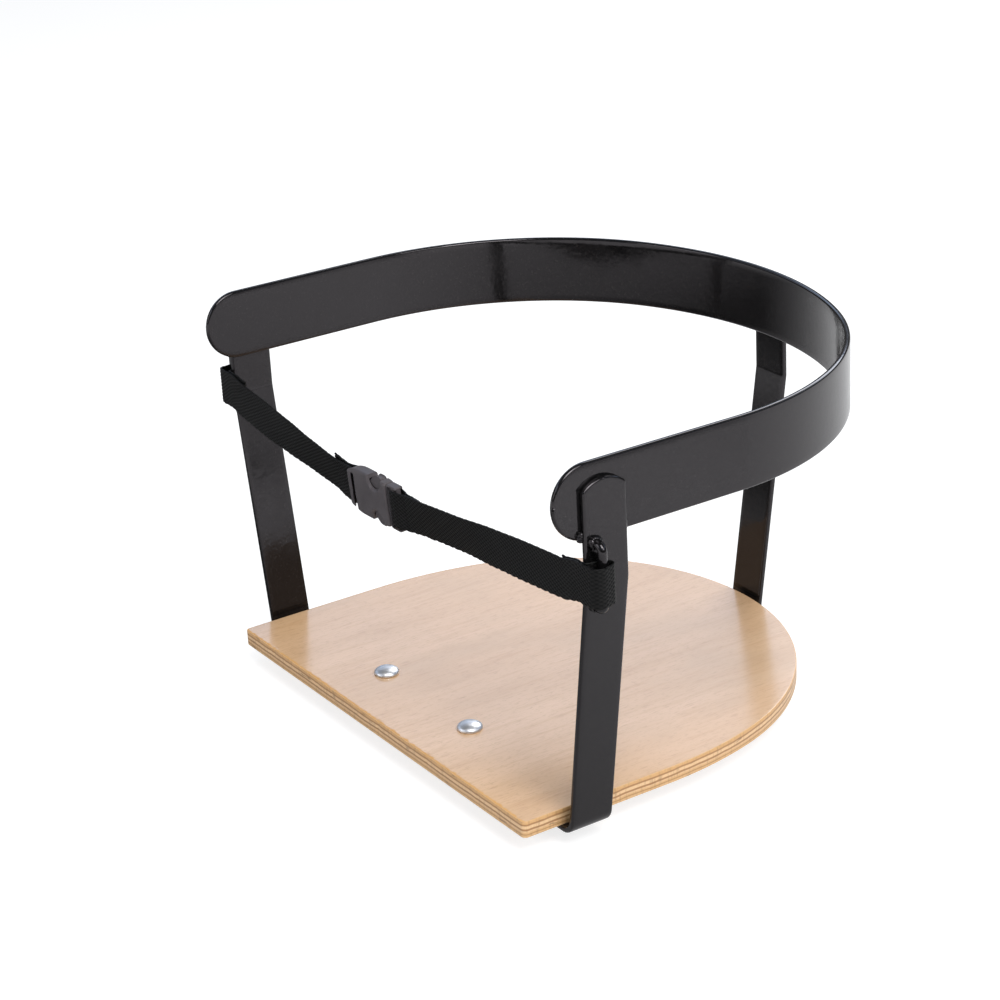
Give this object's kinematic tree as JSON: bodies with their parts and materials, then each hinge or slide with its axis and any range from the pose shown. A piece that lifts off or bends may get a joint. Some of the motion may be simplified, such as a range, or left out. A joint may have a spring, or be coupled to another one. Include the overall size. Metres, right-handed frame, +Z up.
{
  "type": "bolt-on child seat",
  "caption": "Small bolt-on child seat: D-shaped plywood board in a bent flat-steel frame with a hoop rail round sides and back, and a webbing lap strap with a side-release buckle.",
  "frame": {"origin": "on the underside of the cross strip, midway between the two bolts", "axes": "+Z up, +Y from the open front towards the rear upright, +X along the cross strip, towards the plug's end of the strap"},
  "size_m": [0.3858, 0.285, 0.2201],
  "materials": {
    "birch_plywood": "clear gloss lacquer",
    "black_steel": "gloss powder coat",
    "zinc_steel": "bright zinc plate",
    "black_plastic": "satin moulded",
    "black_webbing": "woven, matt"
  },
  "bodies": {
    "frame": {"seat_board": "birch_plywood", "front_bar": "black_steel", "rear_bar": "black_steel", "back_hoop": "black_steel", "strap_eye_left": "black_steel", "strap_eye_right": "black_steel", "weld_right_front": "black_steel", "weld_right_back": "black_steel", "weld_left_front": "black_steel", "weld_left_back": "black_steel", "weld_rear_right": "black_steel", "weld_rear_left": "black_steel", "weld_strip_right": "black_steel", "weld_strip_left": "black_steel", "weld_eye_right_top": "black_steel", "weld_eye_right_base": "black_steel", "weld_eye_left_top": "black_steel", "weld_eye_left_base": "black_steel", "coach_bolt_left": "zinc_steel", "coach_bolt_right": "zinc_steel", "washer_left": "zinc_steel", "washer_right": "zinc_steel", "nut_left": "zinc_steel", "nut_right": "zinc_steel", "buckle_socket": "black_plastic", "strap_left": "black_webbing", "strap_right": "black_webbing"},
    "plug": {"buckle_plug": "black_plastic"},
    "upper_prong": {"prong_upper": "black_plastic"},
    "lower_prong": {"prong_lower": "black_plastic"}
  },
  "joints": [
    {"name": "plug_pull", "type": "slide", "parent": "frame", "child": "plug", "axis": [0.9998, 0, 0.02], "range_m": [0, 0.03], "deforming": ["strap_right", "prong_upper", "prong_lower"]},
    {"name": "upper_squeeze", "type": "hinge", "parent": "plug", "child": "upper_prong", "pos_m": [0.00342, -0.01646, 0.14528], "axis": [0.0014, -0.9976, -0.0697], "range_deg": [0, 6.5], "stiffness_Nm_per_rad": 0.3},
    {"name": "lower_squeeze", "type": "hinge", "parent": "plug", "child": "lower_prong", "pos_m": [0.00378, -0.01524, 0.12773], "axis": [-0.0014, 0.9976, 0.0697], "range_deg": [0, 6.5], "stiffness_Nm_per_rad": 0.3}
  ]
}
